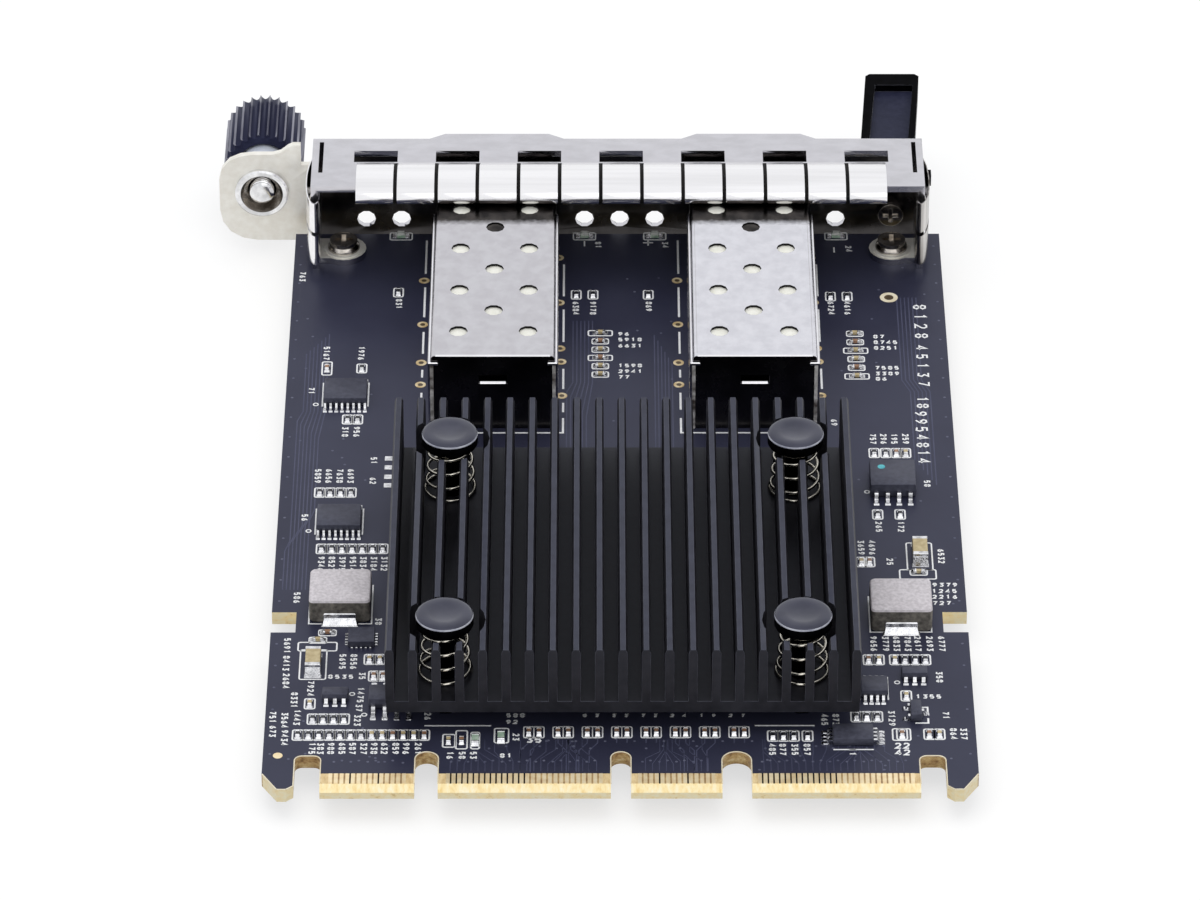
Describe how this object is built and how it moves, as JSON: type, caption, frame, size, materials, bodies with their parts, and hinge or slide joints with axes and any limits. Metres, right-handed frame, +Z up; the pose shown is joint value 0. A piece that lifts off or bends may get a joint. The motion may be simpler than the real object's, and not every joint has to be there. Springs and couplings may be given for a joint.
{
  "type": "network interface card",
  "caption": "Mezzanine network card: board with gold card edge, finned heatsink, folded port cages, steel faceplate with spring fingers, captive thumbscrew and pull tab.",
  "frame": {"origin": "centre of the base of the whole card's bounding box", "axes": "+Y from the card edge to the faceplate, +Z up from the component face, +X to the pull tab side"},
  "size_m": [0.085, 0.1338, 0.0163],
  "materials": {
    "board": "satin solder mask",
    "gold": "plated",
    "cage_steel": "nickel plated",
    "black_plastic": "moulded",
    "black_anodised": "black anodised aluminium",
    "chip_mould": "moulded epoxy",
    "pad_rubber": "soft pad",
    "gloss_black": "glossy",
    "spring_steel": "bright wire",
    "bracket_steel": "nickel plated",
    "gasket_steel": "bright plated",
    "screw_steel": "nickel plated",
    "knob_black": "black anodised",
    "inductor_grey": "pressed powder",
    "tan_part": "fired",
    "lamp_body": "clear",
    "resistor_black": "glazed"
  },
  "bodies": {
    "card": {"pcb": "board", "edge_contacts_top": "gold", "edge_contacts_bottom": "gold", "cage_left": "cage_steel", "cage_right": "cage_steel", "connector_left": "black_plastic", "connector_right": "black_plastic", "heatsink": "black_anodised", "controller_chip": "chip_mould", "thermal_pad": "pad_rubber", "push_pins": "gloss_black", "pin_springs": "spring_steel", "bracket": "bracket_steel", "gasket_top": "gasket_steel", "gasket_left": "gasket_steel", "gasket_right": "gasket_steel", "bracket_screws": "screw_steel", "ferrule": "screw_steel", "pull_tab": "black_plastic", "pull_tab_screw": "screw_steel", "logic_chip_rear": "chip_mould", "logic_chip_front": "chip_mould", "flash_chip": "chip_mould", "monitor_chip": "chip_mould", "power_chip": "chip_mould", "regulator_left": "chip_mould", "regulator_right": "chip_mould", "transistor": "chip_mould", "driver_chip": "chip_mould", "clock_chip": "chip_mould", "inductor_left": "inductor_grey", "inductor_right": "inductor_grey", "bulk_capacitors": "tan_part", "port_leds": "lamp_body", "status_leds": "lamp_body", "chip_resistors": "resistor_black", "chip_capacitors": "tan_part", "coupling_capacitors": "tan_part"},
    "screw_carrier": {"retaining_ring": "screw_steel"},
    "screw_and_knob": {"thumbscrew": "screw_steel", "knob": "knob_black"}
  },
  "joints": [
    {"name": "thumbscrew_slide", "type": "slide", "parent": "card", "child": "screw_carrier", "axis": [0, -1, 0], "range_m": [0, 0.0032]},
    {"name": "thumbscrew_turn", "type": "hinge", "parent": "screw_carrier", "child": "screw_and_knob", "pos_m": [-0.0375, 0.0508, 0.0085], "axis": [0, 1, 0], "continuous": true}
  ]
}
